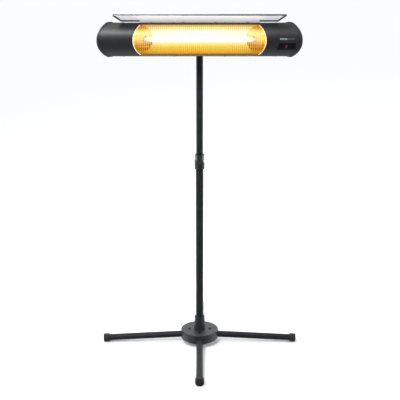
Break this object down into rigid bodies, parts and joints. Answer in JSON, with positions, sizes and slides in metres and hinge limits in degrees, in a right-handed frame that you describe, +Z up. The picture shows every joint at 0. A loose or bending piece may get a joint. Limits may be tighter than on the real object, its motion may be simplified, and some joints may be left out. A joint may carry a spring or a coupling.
{
  "type": "patio heater",
  "caption": "Free-standing infrared patio heater: long curved heating head with grille and visor, tilting on a telescopic mast with a four-legged foot.",
  "frame": {"origin": "mast axis at floor level, in the middle of the four feet", "axes": "+Z up along the mast, the heating head faces -Y, +X to the right of someone who faces the head"},
  "size_m": [0.8538, 0.8538, 1.4518],
  "materials": {
    "black_paint": "satin black powder coat",
    "black_plastic": "fine moulded grain",
    "foot_rubber": "matt",
    "zinc_steel": "zinc plated",
    "black_screw": "black oxide",
    "chrome": "bright",
    "bush_plastic": "natural acetal",
    "housing_metal": "satin anthracite",
    "reflector_metal": "bright rolled",
    "grille_steel": "bright wire",
    "quartz": "clear",
    "glowing_carbon": "glowing carbon",
    "lamp_ceramic": "unglazed",
    "window_gloss": "dark gloss",
    "circuit_board": "solder mask",
    "component_plastic": "moulded",
    "visor_metal": "satin"
  },
  "bodies": {
    "base": {"hub_cover": "black_paint", "hub_plate": "zinc_steel", "leg_front": "black_paint", "leg_right": "black_paint", "leg_rear": "black_paint", "leg_left": "black_paint", "foot_front": "foot_rubber", "foot_right": "foot_rubber", "foot_rear": "foot_rubber", "foot_left": "foot_rubber", "leg_screws": "black_screw", "leg_nuts": "zinc_steel", "mast_socket": "black_plastic", "mast_plug": "zinc_steel", "mast_bolt": "zinc_steel", "lower_mast": "black_paint", "collar_sleeve": "black_plastic", "clamp_band": "chrome", "clamp_yoke": "black_plastic", "lever_pin": "zinc_steel"},
    "lever": {"clamp_lever": "black_plastic"},
    "mast_slider": {"mast_bush": "bush_plastic"},
    "upper_mast": {"upper_mast": "black_paint", "mast_fork": "black_paint", "fork_screw": "zinc_steel", "tilt_bolt": "zinc_steel", "friction_washers": "bush_plastic"},
    "tilt_knob": {"tilt_knob": "black_plastic"},
    "head": {"tilt_arm": "black_paint", "arm_screws": "zinc_steel", "backing_plate": "zinc_steel", "housing": "housing_metal", "rear_cover": "housing_metal", "cover_screws": "black_screw", "end_cap_left": "black_plastic", "end_cap_right": "black_plastic", "reflector": "reflector_metal", "reflector_end_left": "reflector_metal", "reflector_end_right": "reflector_metal", "grille": "grille_steel", "lamp_tube": "quartz", "lamp_filament": "glowing_carbon", "lamp_cap_left": "lamp_ceramic", "lamp_cap_right": "lamp_ceramic", "lamp_holder_left": "zinc_steel", "lamp_holder_right": "zinc_steel", "display_window": "window_gloss", "display_module": "component_plastic", "control_board": "circuit_board", "relay": "component_plastic", "thermal_cutout": "component_plastic", "tip_switch": "black_plastic", "terminal_block": "black_plastic", "cable_gland": "black_plastic", "switch_frame": "black_plastic", "visor": "visor_metal", "visor_posts": "visor_metal", "visor_screws": "zinc_steel"},
    "power_rocker": {"power_rocker": "black_plastic"}
  },
  "joints": [
    {"name": "lever_swing", "type": "hinge", "parent": "base", "child": "lever", "pos_m": [0, -0.0232, 0.827], "axis": [0, 0, 1], "range_deg": [0, 110]},
    {"name": "mast_height", "type": "slide", "parent": "base", "child": "mast_slider", "axis": [0, 0, 1], "range_m": [-0.33, 0.2]},
    {"name": "mast_swivel", "type": "hinge", "parent": "mast_slider", "child": "upper_mast", "pos_m": [0, 0, 0.55], "axis": [0, 0, 1], "range_deg": [-180, 180]},
    {"name": "head_tilt", "type": "hinge", "parent": "upper_mast", "child": "head", "pos_m": [0, 0, 1.3465], "axis": [1, 0, 0], "range_deg": [-15, 35]},
    {"name": "knob_turn", "type": "hinge", "parent": "upper_mast", "child": "tilt_knob", "pos_m": [0.03, 0, 1.3465], "axis": [1, 0, 0], "continuous": true},
    {"name": "rocker_tilt", "type": "hinge", "parent": "head", "child": "power_rocker", "pos_m": [0.222, -0.0575, 1.3465], "axis": [1, 0, 0], "range_deg": [-16, 0]}
  ]
}
